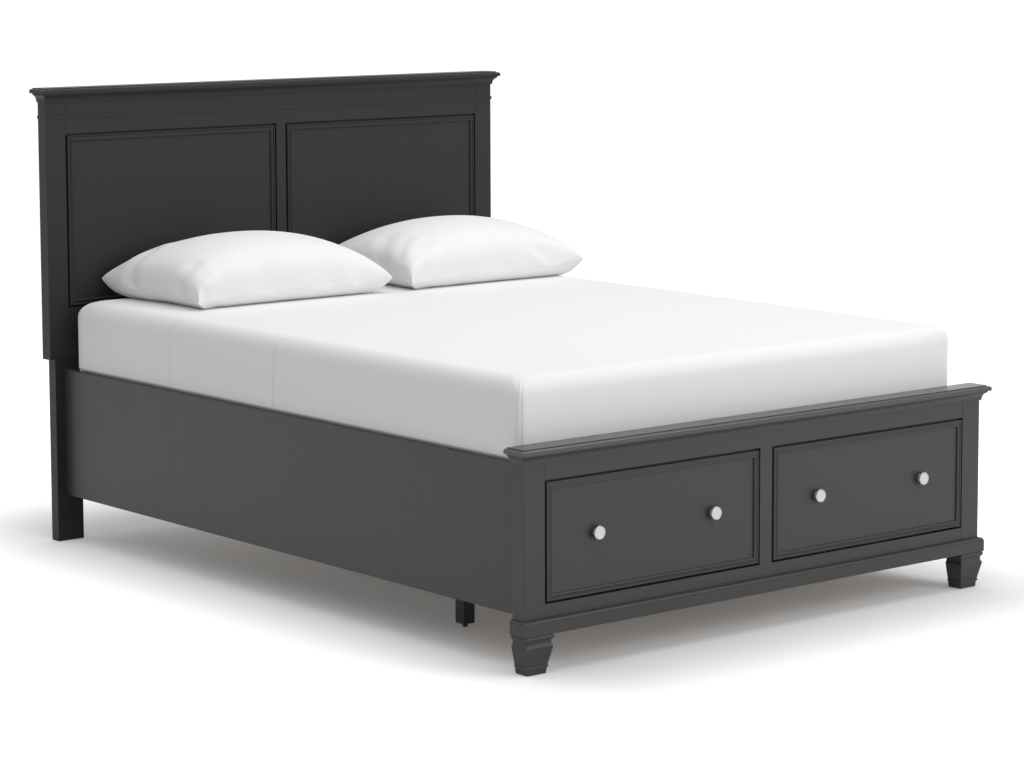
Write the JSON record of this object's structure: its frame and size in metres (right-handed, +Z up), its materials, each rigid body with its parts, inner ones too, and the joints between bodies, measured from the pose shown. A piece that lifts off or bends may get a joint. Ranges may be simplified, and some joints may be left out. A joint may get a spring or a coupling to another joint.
{
  "type": "storage bed",
  "caption": "Queen platform storage bed with panelled headboard, footboard drawers, slatted base, mattress, sheet and pillows.",
  "frame": {"origin": "on the floor at the centre of the bed's outline", "axes": "+X towards the right side seen from the foot end, +Y towards the headboard, +Z up"},
  "size_m": [1.7158, 2.2764, 1.3564],
  "materials": {
    "bare_wood": "smooth bare pine and plywood",
    "black_paint": "matt black paint on wood",
    "charcoal_paint": "satin charcoal paint on wood",
    "glide_plastic": "matt black plastic",
    "mattress_ticking": "woven mattress cover",
    "pillow_cotton": "plain white cotton",
    "satin_nickel": "satin nickel",
    "white_sheet": "plain white cotton",
    "zinc_steel": "zinc-plated steel"
  },
  "bodies": {
    "bed": {"centre_beam": "bare_wood", "centre_beam_legs": "black_paint", "drawer_case_back": "bare_wood", "drawer_case_legs": "black_paint", "drawer_case_rear_rail": "black_paint", "drawer_case_sides": "bare_wood", "fitted_sheet": "white_sheet", "foot_bolts": "zinc_steel", "footboard_base_moulding": "charcoal_paint", "footboard_bottom_rail": "charcoal_paint", "footboard_cap": "charcoal_paint", "footboard_crown_moulding": "charcoal_paint", "footboard_left_foot": "charcoal_paint", "footboard_left_stile": "charcoal_paint", "footboard_middle_stile": "charcoal_paint", "footboard_right_foot": "charcoal_paint", "footboard_right_stile": "charcoal_paint", "footboard_top_rail": "charcoal_paint", "headboard_bead_moulding": "charcoal_paint", "headboard_bottom_rail": "charcoal_paint", "headboard_cap": "charcoal_paint", "headboard_crown_moulding": "charcoal_paint", "headboard_left_leg": "charcoal_paint", "headboard_left_panel": "charcoal_paint", "headboard_left_panel_moulding": "charcoal_paint", "headboard_left_stile": "charcoal_paint", "headboard_middle_stile": "charcoal_paint", "headboard_right_leg": "charcoal_paint", "headboard_right_panel": "charcoal_paint", "headboard_right_panel_moulding": "charcoal_paint", "headboard_right_stile": "charcoal_paint", "headboard_top_rail": "charcoal_paint", "left_pillow": "pillow_cotton", "left_side_rail": "charcoal_paint", "levelling_glides": "glide_plastic", "mattress": "mattress_ticking", "rail_hook_plates": "zinc_steel", "rail_plate_screws": "zinc_steel", "rail_slot_plates": "zinc_steel", "right_pillow": "pillow_cotton", "right_side_rail": "charcoal_paint", "runner_outer_members": "zinc_steel", "slat_cleats": "bare_wood", "slats": "bare_wood"},
    "left_drawer": {"left_drawer_box_back": "bare_wood", "left_drawer_box_bottom": "bare_wood", "left_drawer_box_sides": "bare_wood", "left_drawer_front": "charcoal_paint", "left_drawer_front_moulding": "charcoal_paint", "left_drawer_knobs": "satin_nickel", "left_runner_inner_members": "zinc_steel"},
    "right_drawer": {"right_drawer_box_back": "bare_wood", "right_drawer_box_bottom": "bare_wood", "right_drawer_box_sides": "bare_wood", "right_drawer_front": "charcoal_paint", "right_drawer_front_moulding": "charcoal_paint", "right_drawer_knobs": "satin_nickel", "right_runner_inner_members": "zinc_steel"},
    "left_runner_middles": {"left_runner_middle_members": "zinc_steel"},
    "right_runner_middles": {"right_runner_middle_members": "zinc_steel"}
  },
  "joints": [
    {"name": "left_drawer_slide", "type": "slide", "parent": "bed", "child": "left_drawer", "axis": [0, -1, 0], "range_m": [0, 0.45]},
    {"name": "right_drawer_slide", "type": "slide", "parent": "bed", "child": "right_drawer", "axis": [0, -1, 0], "range_m": [0, 0.45]},
    {"name": "left_runner_slide", "type": "slide", "parent": "bed", "child": "left_runner_middles", "axis": [0, -1, 0], "range_m": [0, 0.225]},
    {"name": "right_runner_slide", "type": "slide", "parent": "bed", "child": "right_runner_middles", "axis": [0, -1, 0], "range_m": [0, 0.225]}
  ],
  "couplings": [
    {"joint": "left_runner_slide", "follows": "left_drawer_slide", "ratio": 0.5},
    {"joint": "right_runner_slide", "follows": "right_drawer_slide", "ratio": 0.5}
  ]
}
